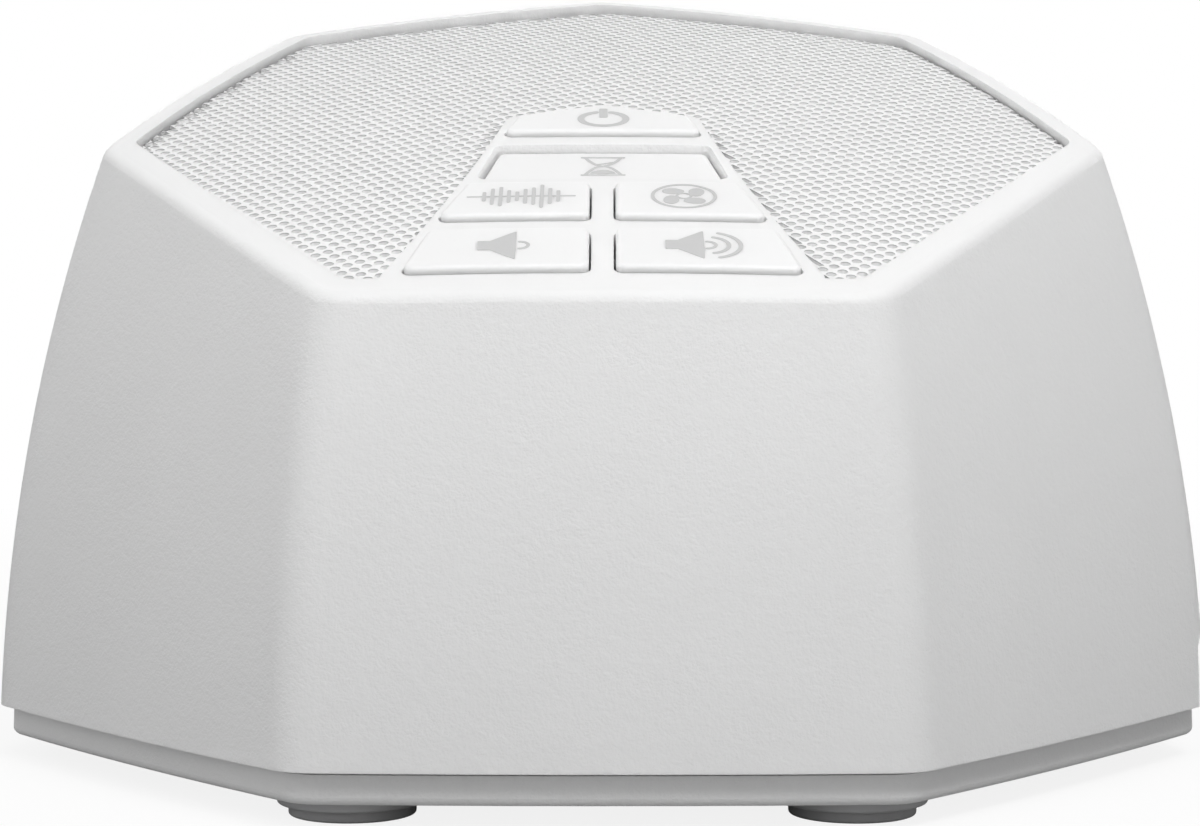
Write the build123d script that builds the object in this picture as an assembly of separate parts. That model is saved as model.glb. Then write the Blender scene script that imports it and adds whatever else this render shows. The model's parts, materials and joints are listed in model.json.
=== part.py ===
from build123d import *
from math import cos, pi, radians, sin, sqrt, tan
import os

# Tabletop white noise machine: a seven-sided moulded housing whose domed top slopes to the front,
# six sprung keys on a control panel, a domed grille over a loudspeaker, and two circuit boards.
# Millimetres. +Z is up, the front faces -Y, Z = 0 is the surface that it stands on, and the
# seven-sided plan is centred on the Z axis with one flat side in front.

# ---------------------------------------------------------------- housing
SIDES = 7
CORNER_REACH = 58.0        # axis to the unrounded corner at the housing's lower edge
SIDE_BULGE = 0.8           # how far each side bows out between its corners
CORNER_ROUND = 5.0         # radius of the upright corners
WALL_LEAN = 2.2            # degrees that a side leans in at its lower edge
WALL_CURVE = 191.0         # radius of a side's upright curve
HOUSING_BOTTOM = 4.8       # height of the housing's lower edge
WALL = 2.2                 # wall thickness, measured level
TOP_HEIGHT = 62.8          # height of the domed top on the Z axis
TOP_TILT = 19.9            # degrees that the top falls towards the front there
DOME_RADIUS = 560.0
RIM_WIDTH = 2.6            # level width of the rim round the grille
RIM_ROUND = 1.5            # outer edge of the rim
DECK = 3.6                 # depth from the dome to the underside of the deck
SOFTEN = 0.25              # rounding of small moulded edges
HALF_STEP = pi / SIDES
FRONT_SIDE = CORNER_REACH * cos(HALF_STEP)     # axis to the chord of a side
HALF_CHORD = CORNER_REACH * sin(HALF_STEP)

# ---------------------------------------------------------------- grille
GRILLE_DROP = 1.0          # grille face below the rim
GRILLE_SHEET = 0.35
CLOTH_SHEET = 0.55
GRILLE_GAP = 0.12

# ---------------------------------------------------------------- control panel, in the top's plane
PANEL_FRONT_AT = 4.76 - FRONT_SIDE             # where it leaves the rim
PANEL_WAIST_AT, PANEL_REAR_AT, PANEL_APEX_AT = [PANEL_FRONT_AT + back for back in (17.0, 38.6, 42.4)]
PANEL_FRONT_HALF = HALF_CHORD - 6.97           # half widths
PANEL_WAIST_HALF, PANEL_REAR_HALF = PANEL_FRONT_HALF - 4.85, PANEL_FRONT_HALF - 9.25
PANEL_CORNER = 1.4

# ---------------------------------------------------------------- keys, in the top's plane
KEY_RISE = 0.6             # height of a key's face over the dome
TIMER_SINK = 0.65          # depth of the timer key's face under the dome
KEY_PLATE = 1.6            # thickness of a key under the dome
KEY_GAP = 0.18             # all round a key
KEY_CORNER = 0.7
KEY_SOFTEN = 0.4           # rounding of a key's proud edges
KEY_TRAVEL = 2.4           # degrees from rest to the switch
POWER_TRAVEL = 0.3         # the power key sinks straight down
RIB_HALF = 1.12            # half width of the rib between left and right keys
ROW_GAP, TIMER_GAP, POWER_GAP = 2.85, 2.4, 2.7  # panel between one row and the next
VOLUME_DEEP, SOUND_DEEP, TIMER_DEEP, POWER_DEEP, POWER_POINT = 8.15, 7.9, 8.6, 4.9, 3.2
VOLUME_FRONT = PANEL_FRONT_AT
VOLUME_REAR = VOLUME_FRONT + VOLUME_DEEP
SOUND_FRONT = VOLUME_REAR + ROW_GAP
SOUND_REAR = SOUND_FRONT + SOUND_DEEP
TIMER_FRONT = SOUND_REAR + TIMER_GAP
TIMER_REAR = TIMER_FRONT + TIMER_DEEP
POWER_FRONT = TIMER_REAR + POWER_GAP
POWER_REAR = POWER_FRONT + POWER_DEEP
POWER_PEAK = POWER_REAR + POWER_POINT
VOLUME_FRONT_HALF, VOLUME_REAR_HALF = PANEL_FRONT_HALF - 1.7, PANEL_FRONT_HALF - 3.5
SOUND_FRONT_HALF, SOUND_REAR_HALF = PANEL_FRONT_HALF - 4.1, PANEL_FRONT_HALF - 6.3
TIMER_FRONT_HALF, TIMER_REAR_HALF = PANEL_FRONT_HALF - 7.2, PANEL_FRONT_HALF - 8.75
POWER_FRONT_HALF, POWER_REAR_HALF = PANEL_FRONT_HALF - 9.1, PANEL_FRONT_HALF - 10.3
RECESS_SLOPE = 15.0        # degrees from upright of the walls round the sunk timer key
PIN_RADIUS = 0.5           # hinge pins of the keys
PIN_PLAY = 0.05
PIN_SPAN = 0.95            # pin length past its ear
PIN_DEPTH = 2.5            # pin centre under the dome
PIN_INSET = 1.0            # pin centre from the key's hinged edge
EAR_WIDTH = 1.4
EAR_RADIUS = 0.85
CATCH_WIDTH = 4.0          # lip that stops a key from lifting out
CATCH_REACH = 0.5
CATCH_THICK = 0.7
CATCH_PLAY = 0.1
STEM_RADIUS = 1.2
STEM_PLAY = 0.03

# ---------------------------------------------------------------- key board and switches
BOARD_THICK = 1.2
KEY_BOARD_LEVEL = -9.0     # its switch face, under the top's plane
KEY_BOARD_FRONT, KEY_BOARD_REAR = VOLUME_FRONT + 1.0, POWER_REAR - 0.7
KEY_BOARD_FRONT_HALF, KEY_BOARD_REAR_HALF = 22.0, 18.0
SWITCH_SIDE = 6.0
SWITCH_BODY = 3.5
SWITCH_PLUNGER = 0.8
SWITCH_PLUNGER_RADIUS = 1.7
SWITCH_FROM_EDGE = 4.0     # switch centre from the edge that is pressed
BOSS_RADIUS = 2.4
BOARD_SCREW_LENGTH = 4.5
BOARD_SCREW_PLACES = [(19.0, KEY_BOARD_FRONT + 4.0), (-19.0, KEY_BOARD_FRONT + 4.0),
                      (15.2, KEY_BOARD_REAR - 3.2), (-15.2, KEY_BOARD_REAR - 3.2)]

# ---------------------------------------------------------------- small screws (shaft, head)
SMALL_SHAFT, SMALL_HEAD, SMALL_HEAD_HIGH = 1.0, 1.9, 1.2
SCREW_END_ROOM = 0.3
SCREW_PLAY = 0.02
HOLE_PLAY = 0.3

# ---------------------------------------------------------------- loudspeaker, on its own tilted axis
SPEAKER_FRONT, SPEAKER_REAR = POWER_REAR + 2.4, CORNER_REACH - 20.7     # edges in the top's plane
SPEAKER_AT = (SPEAKER_FRONT + SPEAKER_REAR) / 2
FLANGE_RADIUS = (SPEAKER_REAR - SPEAKER_FRONT) / 2
FLANGE_THICK = 1.0
SPEAKER_SEAT = -5.4        # flat seat under the deck
SEAT_OUTER = FLANGE_RADIUS + 1.7
SOUND_HOLE = FLANGE_RADIUS - 3.4
GASKET = 0.6
SPEAKER_SCREW_CIRCLE = FLANGE_RADIUS - 1.4
SPEAKER_SCREW_LENGTH = 3.5
SPEAKER_SCREW_TURNS = (45, 135, 225, 315)
BASKET_DEPTH = 11.0
BASKET_SHEET = 0.8
BASKET_THROAT = FLANGE_RADIUS - 7.3
PLATE_RADIUS, PLATE_THICK = FLANGE_RADIUS - 8.3, 2.0
MAGNET_RADIUS, MAGNET_HOLE, MAGNET_THICK = FLANGE_RADIUS - 6.3, 9.0, 6.0
POLE_RADIUS = 5.4
COIL_RADIUS, COIL_WALL, COIL_LENGTH = 5.6, 0.35, 9.0
COIL_GAP = 0.25
CAP_OVERHANG, CAP_RISE, CAP_SHEET = 1.0, 2.2, 0.4
CONE_EDGE, CONE_SHEET = SOUND_HOLE - 3.0, 0.5
CONE_DROP = 0.4            # cone's edge under the flange's face
CONE_DEPTH = 7.6
SURROUND_ROLL, SURROUND_SHEET = 1.1, 0.35
CONE_TRAVEL = 0.4
GLUE_LINE = 0.06

# ---------------------------------------------------------------- base and feet
BASE_BOTTOM = 2.0
BASE_INSET = 1.2
BASE_FLOOR = 2.0           # thickness of the base plate
SHADOW_GAP = 0.3           # between base and housing
SPIGOT_HEIGHT, SPIGOT_WALL, SPIGOT_PLAY = 4.0, 1.6, 0.15
PILLAR_RADIUS = 5.0
SEAT_HEIGHT = 5.0          # where housing bosses rest on base pillars
POST_RADIUS, POST_TOP = 3.4, 26.0
POST_WEB, POST_WEB_REACH = 1.6, 10.0
FOOT_INSET = 10.3          # housing's corner to the centre of a foot
FOOT_REACH = CORNER_REACH - FOOT_INSET
RIB_START, RIB_STOP = 18.7, FOOT_REACH - 3.0
FOOT_DISC, FOOT_FLANGE = 5.3, 6.25
FOOT_STEP = 1.0
FOOT_POCKET = 0.5
HOUSING_SHAFT, HOUSING_HEAD, HOUSING_HEAD_HIGH, HOUSING_SCREW_LENGTH = 1.4, 2.6, 1.5, 11.0

# ---------------------------------------------------------------- port recess, on the right rear side
RECESS_PLANE = FRONT_SIDE - 1.66               # axis to the recess floor
RECESS_TOP = 10.4
RECESS_RUN_OUT = 14.3      # where its sloped top meets the side
RECESS_END = 15.0          # along the side, towards the rear
PORT_HEIGHT = 7.7
PORT_BACKING = 2.4         # wall behind the recess
USB_AT, JACK_AT = -8.0, 6.0
USB_WIDE, USB_HIGH, USB_DEEP, USB_SHEET = 7.5, 2.7, 6.0, 0.3
JACK_BORE, JACK_NOSE, JACK_SIDE, JACK_DEEP = 1.8, 2.5, 5.0, 11.0
PORT_PLAY = 0.1

# ---------------------------------------------------------------- main board
MAIN_NEAR, MAIN_LEFT, MAIN_RIGHT = 2.0, 1.17 - HALF_CHORD, 15.6
MAIN_SCREW_INSET, MAIN_SCREW_LENGTH = 3.0, 3.0
STANDOFF_RADIUS = 2.6
RIB_RISE = 0.8
PROCESSOR = (RECESS_PLANE - 28.6, -6.0, 7.0, 7.0, 1.0)     # out, along, then its three sizes
AMPLIFIER = (RECESS_PLANE - 17.6, 8.0, 5.0, 4.0, 1.5)
CAPACITORS = [(RECESS_PLANE - 16.6, MAIN_LEFT + 7.0), (RECESS_PLANE - 24.6, MAIN_LEFT + 6.0),
              (RECESS_PLANE - 26.6, 6.0)]
CAPACITOR_RADIUS, CAPACITOR_HIGH = 3.15, 7.0
CONNECTOR_HIGH, CONNECTOR_DEEP = 2.2, 4.0
RIBBON_AT, RIBBON_FROM, RIBBON_LANDING = 12.0, KEY_BOARD_FRONT + 21.5, 11.17 - HALF_CHORD
RIBBON_WIDE, RIBBON_THICK = 8.0, 0.3
RIBBON_STRAIGHT, RIBBON_SLACK, RIBBON_BEND = 6.0, 5.0, 5.0
TERMINAL_OUT, TERMINAL_LENGTH = FLANGE_RADIUS - 1.9, 3.0
LEAD_LANDING = (8.0, 6.0)
LEAD_RADIUS, LEAD_APART, LEAD_BEND = 0.6, 3.0, 4.0
LEAD_DROP, LEAD_SWING, LEAD_RISE = 6.0, (1.5, 7.0), 9.0

PORT_TURN = 360 / SIDES * 2 - 90
CORNERS = {"front_left": -1, "front_right": 1, "rear_left": -5, "rear_right": 5}
MAIN_TOP = PORT_HEIGHT - USB_HIGH / 2
MAIN_BOTTOM = MAIN_TOP - BOARD_THICK
ABOVE = TOP_HEIGHT + 30    # a height over everything
POCKET = GRILLE_DROP + GRILLE_SHEET + CLOTH_SHEET
FLANGE_TOP = SPEAKER_SEAT - GASKET
FLANGE_LOW = FLANGE_TOP - FLANGE_THICK


# ---------------------------------------------------------------- shared shapes
def side_distance(z):
    """Axis to a side's chord plane at height z."""
    centre = FRONT_SIDE - WALL_CURVE * cos(radians(WALL_LEAN))
    centre_z = HOUSING_BOTTOM - WALL_CURVE * sin(radians(WALL_LEAN))
    return centre + sqrt(WALL_CURVE**2 - (z - centre_z) ** 2)


def seven_sided(inset, low, high, corner):
    """The housing's form, drawn in by inset, between two heights."""
    face_at = [side_distance(z) + SIDE_BULGE - inset for z in (low, (low + high) / 2, high)]
    reach = -1.3 * CORNER_REACH
    outline = Wire([
        ThreePointArc((face_at[0], 0, low), (face_at[1], 0, (low + high) / 2), (face_at[2], 0, high)),
        Line((face_at[2], 0, high), (reach, 0, high)),
        Line((reach, 0, high), (reach, 0, low)),
        Line((reach, 0, low), (face_at[0], 0, low)),
    ])
    bow = (HALF_CHORD**2 + SIDE_BULGE**2) / (2 * SIDE_BULGE)
    bow_axis = Axis((side_distance(HOUSING_BOTTOM) + SIDE_BULGE - bow, 0, 0), (0, 0, 1))
    sweep = 30
    slab = revolve(Face(outline), bow_axis, sweep).rotate(bow_axis, -sweep / 2)
    body = slab.rotate(Axis.Z, -90)
    for i in range(1, SIDES):
        body &= slab.rotate(Axis.Z, 360 / SIDES * i - 90)
    uprights = [e for e in body.edges() if e.bounding_box().size.Z > (high - low) * 0.9]
    return fillet(uprights, corner)


UP = Vector(0, -sin(radians(TOP_TILT)), cos(radians(TOP_TILT)))
TOP = Plane(origin=(0, 0, TOP_HEIGHT), x_dir=(1, 0, 0), z_dir=UP)


def dome(drop):
    """Everything under the domed top, lowered by drop."""
    centre = TOP.origin - UP * DOME_RADIUS
    return Pos(*centre) * Sphere(DOME_RADIUS - drop)


def dome_level(x, v):
    """Height of the dome over the top's plane, which it touches on the Z axis."""
    return sqrt(DOME_RADIUS**2 - x * x - v * v) - DOME_RADIUS


def prism(face, low, high):
    """A sketch in the top's plane, extruded square to it."""
    return extrude(TOP * Pos(0, 0, low) * face, high - low, dir=UP)


def rod(x, v, low, high, radius):
    """A cylinder square to the top's plane."""
    return TOP * Pos(x, v, (low + high) / 2) * Cylinder(radius, high - low)


def block(x, v, low, high, wide, deep):
    """A box square to the top's plane."""
    return TOP * Pos(x, v, (low + high) / 2) * Box(wide, deep, high - low)


def upright(x, y, low, high, radius):
    return Pos(x, y, (low + high) / 2) * Cylinder(radius, high - low)


def port_box(near, far, left, right, low, high):
    """A box in the frame of the side that holds the ports: outward, along the side, up."""
    middle = Pos((near + far) / 2, (left + right) / 2, (low + high) / 2)
    return Rot(0, 0, PORT_TURN) * middle * Box(far - near, right - left, high - low)


def port_rod(out, along, low, high, radius):
    return Rot(0, 0, PORT_TURN) * Pos(out, along, (low + high) / 2) * Cylinder(radius, high - low)


def corner_place(name, reach):
    turn = radians(-90) + CORNERS[name] * HALF_STEP
    return reach * cos(turn), reach * sin(turn)


def joined(shapes):
    total = shapes[0]
    for shape in shapes[1:]:
        total += shape
    return total


# ---------------------------------------------------------------- control panel and keys
def panel_face(grow=0.0):
    front = PANEL_FRONT_AT - RIM_WIDTH
    corners = [(PANEL_FRONT_HALF + grow, PANEL_FRONT_AT), (PANEL_WAIST_HALF + grow, PANEL_WAIST_AT),
               (PANEL_REAR_HALF + grow, PANEL_REAR_AT)]
    right = ThreePointArc(*corners)
    left = ThreePointArc(*[(-x, v) for x, v in reversed(corners)])
    apex = (0, PANEL_APEX_AT + grow)
    outline = [
        Line((-corners[0][0], front), (corners[0][0], front)),
        Line((corners[0][0], front), corners[0]), right, Line(corners[2], apex),
        Line(apex, (-corners[2][0], PANEL_REAR_AT)), left,
        Line((-corners[0][0], PANEL_FRONT_AT), (-corners[0][0], front)),
    ]
    face = Face(Wire(outline))
    rear = [p for p in face.vertices() if p.Y > PANEL_WAIST_AT]
    return fillet(rear, PANEL_CORNER)


class Key:
    """A key in the top's plane: its edges, and the edge that it hinges on."""

    def __init__(self, name, front, rear, front_x, rear_x, peak=None, hinge="rear", sink=-KEY_RISE):
        self.name, self.front, self.rear, self.peak, self.hinge = name, front, rear, peak, hinge
        self.front_x, self.rear_x, self.sink = front_x, rear_x, sink
        self.middle = (sum(front_x) + sum(rear_x)) / 4
        inward = -1 if hinge == "rear" else 1
        self.hinge_at = rear if hinge == "rear" else front
        self.press_at = front if hinge == "rear" else rear
        self.inward = inward
        self.pin_at = self.hinge_at + inward * PIN_INSET
        self.pin_level = dome_level(0, self.pin_at) - PIN_DEPTH
        self.switch_at = self.press_at - inward * SWITCH_FROM_EDGE

    def edge_x(self, v, side):
        """Place of the left (0) or right (1) edge at v."""
        share = (v - self.front) / (self.rear - self.front)
        return self.front_x[side] + share * (self.rear_x[side] - self.front_x[side])

    def ear_x(self, side):
        """Outer face of an ear: clear of the slanted edge over the ear's whole length."""
        ends = [self.edge_x(self.pin_at + step, side) for step in (-EAR_RADIUS, EAR_RADIUS)]
        return min(ends) if side else max(ends)

    def face(self, gap=0):
        """The key's outline, or its opening's."""
        points = [(self.front_x[0], self.front), (self.front_x[1], self.front), (self.rear_x[1], self.rear)]
        if self.peak is not None:
            points.append((self.middle, self.peak))
        points.append((self.rear_x[0], self.rear))
        outline = make_face(Polyline(*points, close=True))
        outline = fillet(outline.vertices(), KEY_CORNER)
        return offset(outline, gap) if gap else outline


def mirrored(span):
    return (-span, span)


KEYS = [
    Key("key_power", POWER_FRONT, POWER_REAR, mirrored(POWER_FRONT_HALF),
        mirrored(POWER_REAR_HALF), peak=POWER_PEAK),
    Key("key_timer", TIMER_FRONT, TIMER_REAR, mirrored(TIMER_FRONT_HALF),
        mirrored(TIMER_REAR_HALF), hinge="front", sink=TIMER_SINK),
    Key("key_white_noise", SOUND_FRONT, SOUND_REAR, (-SOUND_FRONT_HALF, -RIB_HALF),
        (-SOUND_REAR_HALF, -RIB_HALF)),
    Key("key_fan", SOUND_FRONT, SOUND_REAR, (RIB_HALF, SOUND_FRONT_HALF),
        (RIB_HALF, SOUND_REAR_HALF)),
    Key("key_volume_down", VOLUME_FRONT, VOLUME_REAR, (-VOLUME_FRONT_HALF, -RIB_HALF),
        (-VOLUME_REAR_HALF, -RIB_HALF)),
    Key("key_volume_up", VOLUME_FRONT, VOLUME_REAR, (RIB_HALF, VOLUME_FRONT_HALF),
        (RIB_HALF, VOLUME_REAR_HALF)),
]


def pin_rod(key, side, start, end, radius):
    """A rod along X on a key's hinge line, from start to end past the outer face of an ear."""
    way = 1 if side else -1
    middle = key.ear_x(side) + way * (start + end) / 2
    return TOP * Pos(middle, key.pin_at, key.pin_level) * Rot(0, 90, 0) * Cylinder(radius, end - start)


def make_key(key):
    plate = prism(key.face(), -2 * DECK, DECK) & dome(key.sink)
    face = plate.faces().sort_by(lambda f: (f.center() - TOP.origin).dot(UP))[-1]
    plate = fillet(face.edges(), KEY_SOFTEN) - dome(KEY_PLATE)
    press_in = key.press_at - key.inward * CATCH_THICK
    press_out = key.press_at + key.inward * (KEY_GAP + CATCH_REACH)
    lowest = dome_level(abs(key.middle) + CATCH_WIDTH / 2, min(press_in, press_out))
    under = lowest - DECK - CATCH_PLAY
    root = dome_level(0, key.press_at) - KEY_PLATE / 2 - KEY_SOFTEN
    pieces = [plate]
    skirt = block(key.middle, (key.press_at + press_in) / 2, under - CATCH_THICK, root,
                  CATCH_WIDTH, abs(press_in - key.press_at))
    lip = block(key.middle, (press_out + press_in) / 2, under - CATCH_THICK, under,
                CATCH_WIDTH, abs(press_out - press_in))
    stem_top = dome_level(key.middle, key.switch_at) - KEY_PLATE / 2
    stroke = POWER_TRAVEL if key.peak else abs(key.switch_at - key.pin_at) * sin(radians(KEY_TRAVEL))
    stem_low = KEY_BOARD_LEVEL + SWITCH_BODY + SWITCH_PLUNGER + stroke + STEM_PLAY
    pieces += [skirt, lip, rod(key.middle, key.switch_at, stem_low, stem_top, STEM_RADIUS)]
    if key.peak is None:
        for side in (0, 1):
            way = 1 if side else -1
            place = key.ear_x(side) - way * EAR_WIDTH / 2
            ear_top = dome_level(place, key.pin_at) - KEY_PLATE / 2
            pieces.append(block(place, key.pin_at, key.pin_level, ear_top, EAR_WIDTH, 2 * EAR_RADIUS))
            pieces.append(pin_rod(key, side, -EAR_WIDTH, 0, EAR_RADIUS))
            pieces.append(pin_rod(key, side, -EAR_WIDTH / 2, PIN_SPAN, PIN_RADIUS))
    return joined(pieces)


def key_openings():
    """Everything that the keys need cut from the deck."""
    cuts = []
    for key in KEYS:
        cuts.append(prism(key.face(KEY_GAP), -3 * DECK, 2 * DECK))
        if key.peak is None:
            for side in (0, 1):
                cuts.append(pin_rod(key, side, -EAR_WIDTH, PIN_SPAN + PIN_PLAY, PIN_RADIUS + PIN_PLAY))
    return cuts


def timer_recess():
    """Sloped walls that fall from the panel to the sunk edge of the timer key."""
    level = dome_level(0, TIMER_REAR) - TIMER_SINK
    funnel = extrude(TOP * Pos(0, 0, level) * KEYS[1].face(KEY_GAP), 2 * TIMER_SINK, dir=UP,
                     taper=-RECESS_SLOPE)
    return funnel - dome(TIMER_SINK)


# ---------------------------------------------------------------- housing
def grille_field(inset, top_drop, low_drop, grow):
    """A domed sheet that fills the recess behind the rim and round the panel."""
    field = seven_sided(RIM_WIDTH + inset, HOUSING_BOTTOM, ABOVE, CORNER_ROUND - RIM_WIDTH)
    if top_drop is not None:
        field &= dome(top_drop)
    return field - dome(low_drop) - prism(panel_face(grow), -6 * DECK, 6 * DECK)


def speaker_place(turn, radius):
    return radius * cos(radians(turn)), SPEAKER_AT + radius * sin(radians(turn))


def recess_cut():
    """The port recess: a flat floor with a sloped top, run out past the right corner."""
    slope_out = side_distance(RECESS_RUN_OUT) + SIDE_BULGE - RECESS_PLANE
    far = 4 * slope_out
    rise = far * (RECESS_RUN_OUT - RECESS_TOP) / slope_out
    low = HOUSING_BOTTOM - 1
    outline = Polyline((RECESS_PLANE, 0, low), (RECESS_PLANE, 0, RECESS_TOP),
                       (RECESS_PLANE + far, 0, RECESS_TOP + rise), (RECESS_PLANE + far, 0, low),
                       close=True)
    cut = extrude(make_face(outline), RECESS_END + CORNER_REACH, dir=(0, 1, 0))
    return Rot(0, 0, PORT_TURN) * Pos(0, -CORNER_REACH, 0) * cut


def make_housing():
    body = seven_sided(0, HOUSING_BOTTOM, ABOVE, CORNER_ROUND) & dome(0)
    top_face = body.faces().sort_by(Axis.Z)[-1]
    body = fillet(top_face.edges(), RIM_ROUND)
    backing = port_box(RECESS_PLANE - PORT_BACKING, 2 * CORNER_REACH, -CORNER_REACH,
                       RECESS_END + PORT_BACKING, 0, RECESS_RUN_OUT + PORT_BACKING)
    cavity = seven_sided(WALL, HOUSING_BOTTOM - 1, ABOVE, CORNER_ROUND - WALL) & dome(DECK)
    body -= cavity - backing
    body -= recess_cut()
    body -= grille_field(0, None, GRILLE_DROP + GRILLE_SHEET + CLOTH_SHEET, 0)
    inside = seven_sided(WALL / 2, HOUSING_BOTTOM, ABOVE, CORNER_ROUND - WALL / 2)
    inside &= dome((POCKET + DECK) / 2)
    posts = [rod(0, SPEAKER_AT, SPEAKER_SEAT, 0, SEAT_OUTER) & inside]
    for name in CORNERS:
        x, y = corner_place(name, FOOT_REACH)
        turn = -90 + CORNERS[name] * 180 / SIDES
        web_low = HOUSING_BOTTOM + SPIGOT_HEIGHT + 1
        web = Rot(0, 0, turn) * Pos(FOOT_REACH + POST_WEB_REACH / 2, 0, (web_low + POST_TOP) / 2)
        posts.append(upright(x, y, SEAT_HEIGHT, POST_TOP, POST_RADIUS))
        posts.append((web * Box(POST_WEB_REACH, POST_WEB, POST_TOP - web_low)) & inside)
    for x, v in BOARD_SCREW_PLACES:
        posts.append(rod(x, v, KEY_BOARD_LEVEL, 0, BOSS_RADIUS) & inside)
    body = joined([body] + posts)
    body -= rod(0, SPEAKER_AT, 2 * SPEAKER_SEAT, 2 * DECK, SOUND_HOLE)
    for x, v in BOARD_SCREW_PLACES:
        tip = KEY_BOARD_LEVEL - BOARD_THICK + BOARD_SCREW_LENGTH
        body -= rod(x, v, KEY_BOARD_LEVEL - 1, tip + SCREW_END_ROOM, SMALL_SHAFT + SCREW_PLAY)
    for turn in SPEAKER_SCREW_TURNS:
        x, v = speaker_place(turn, SPEAKER_SCREW_CIRCLE)
        tip = FLANGE_LOW + SPEAKER_SCREW_LENGTH
        body -= rod(x, v, SPEAKER_SEAT - 1, tip + SCREW_END_ROOM, SMALL_SHAFT + SCREW_PLAY)
    for name in CORNERS:
        x, y = corner_place(name, FOOT_REACH)
        hole_top = BASE_BOTTOM + FOOT_POCKET + HOUSING_HEAD_HIGH + HOUSING_SCREW_LENGTH + SCREW_END_ROOM
        body -= upright(x, y, SEAT_HEIGHT - 1, hole_top, HOUSING_SHAFT + SCREW_PLAY)
    for cut in key_openings():
        body -= cut
    body -= timer_recess()
    usb = port_box(RECESS_PLANE - 2 * PORT_BACKING, RECESS_PLANE + 1,
                   USB_AT - USB_WIDE / 2 - PORT_PLAY, USB_AT + USB_WIDE / 2 + PORT_PLAY,
                   PORT_HEIGHT - USB_HIGH / 2 - PORT_PLAY, PORT_HEIGHT + USB_HIGH / 2 + PORT_PLAY)
    jack = Rot(0, 0, PORT_TURN) * Pos(RECESS_PLANE - PORT_BACKING, JACK_AT, PORT_HEIGHT)
    jack *= Rot(0, 90, 0) * Cylinder(JACK_NOSE + PORT_PLAY, 4 * PORT_BACKING)
    return body - usb - jack


def make_grille():
    return grille_field(GRILLE_GAP, GRILLE_DROP, GRILLE_DROP + GRILLE_SHEET, GRILLE_GAP)


def make_cloth():
    top = GRILLE_DROP + GRILLE_SHEET
    return grille_field(GRILLE_GAP, top, top + CLOTH_SHEET, GRILLE_GAP)


# ---------------------------------------------------------------- base and feet
def make_base():
    flange_top = HOUSING_BOTTOM - SHADOW_GAP
    floor_top = BASE_BOTTOM + BASE_FLOOR
    spigot_top = HOUSING_BOTTOM + SPIGOT_HEIGHT
    spigot_in = WALL + SPIGOT_PLAY
    hollow_in = spigot_in + SPIGOT_WALL
    plate = seven_sided(BASE_INSET, BASE_BOTTOM, flange_top, CORNER_ROUND - BASE_INSET)
    under = plate.faces().sort_by(Axis.Z)[0]
    plate = fillet(under.edges(), BASE_FLOOR / 3)
    spigot = seven_sided(spigot_in, floor_top, spigot_top, CORNER_ROUND - spigot_in)
    hollow = seven_sided(hollow_in, floor_top, ABOVE, CORNER_ROUND - hollow_in + WALL)
    ports = port_box(RECESS_PLANE - 2 * PORT_BACKING, 2 * CORNER_REACH, -CORNER_REACH,
                     RECESS_END + 2 * PORT_BACKING, flange_top, ABOVE)
    base = plate + (spigot - ports) - hollow
    ribs = []
    for i in range(SIDES):
        turn = 360 / SIDES * i - 90
        middle = Pos((RIB_START + RIB_STOP) / 2, 0, floor_top)
        ribs.append(Rot(0, 0, turn) * middle * Box(RIB_STOP - RIB_START, POST_WEB, 2 * RIB_RISE))
    for name in CORNERS:
        ribs.append(upright(*corner_place(name, FOOT_REACH), floor_top - 0.5, SEAT_HEIGHT, PILLAR_RADIUS))
    for out, along in main_screw_places():
        ribs.append(port_rod(out, along, floor_top - 0.5, MAIN_BOTTOM, STANDOFF_RADIUS))
    base = joined([base] + ribs)
    for name in CORNERS:
        x, y = corner_place(name, FOOT_REACH)
        pocket = BASE_BOTTOM + FOOT_POCKET
        base -= upright(x, y, BASE_BOTTOM - 1, pocket, FOOT_FLANGE + PORT_PLAY)
        base -= upright(x, y, pocket - 1, pocket + HOUSING_HEAD_HIGH, HOUSING_HEAD + HOLE_PLAY)
        base -= upright(x, y, pocket, SEAT_HEIGHT + 1, HOUSING_SHAFT + HOLE_PLAY)
    for out, along in main_screw_places():
        tip = MAIN_TOP - MAIN_SCREW_LENGTH
        base -= port_rod(out, along, tip - SCREW_END_ROOM, MAIN_BOTTOM + 1, SMALL_SHAFT + SCREW_PLAY)
    return base


def make_foot(name):
    x, y = corner_place(name, FOOT_REACH)
    disc = upright(x, y, 0, FOOT_STEP, FOOT_DISC)
    disc = fillet(disc.edges().sort_by(Axis.Z)[0], SOFTEN)
    flange = upright(x, y, FOOT_STEP, BASE_BOTTOM + FOOT_POCKET, FOOT_FLANGE)
    flange = fillet(flange.edges().sort_by(Axis.Z)[0], SOFTEN)
    return disc + flange


def make_housing_screw(name):
    x, y = corner_place(name, FOOT_REACH)
    seat = BASE_BOTTOM + FOOT_POCKET + HOUSING_HEAD_HIGH
    head = upright(x, y, seat - HOUSING_HEAD_HIGH, seat, HOUSING_HEAD)
    head = fillet(head.edges().sort_by(Axis.Z)[0], HOUSING_HEAD_HIGH / 3)
    return head + upright(x, y, seat, seat + HOUSING_SCREW_LENGTH, HOUSING_SHAFT)


def small_screw(length):
    """Head under Z = 0, shaft above it."""
    head = Pos(0, 0, -SMALL_HEAD_HIGH / 2) * Cylinder(SMALL_HEAD, SMALL_HEAD_HIGH)
    head = fillet(head.edges().sort_by(Axis.Z)[0], SMALL_HEAD_HIGH / 3)
    return head + Pos(0, 0, length / 2) * Cylinder(SMALL_SHAFT, length)


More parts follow.
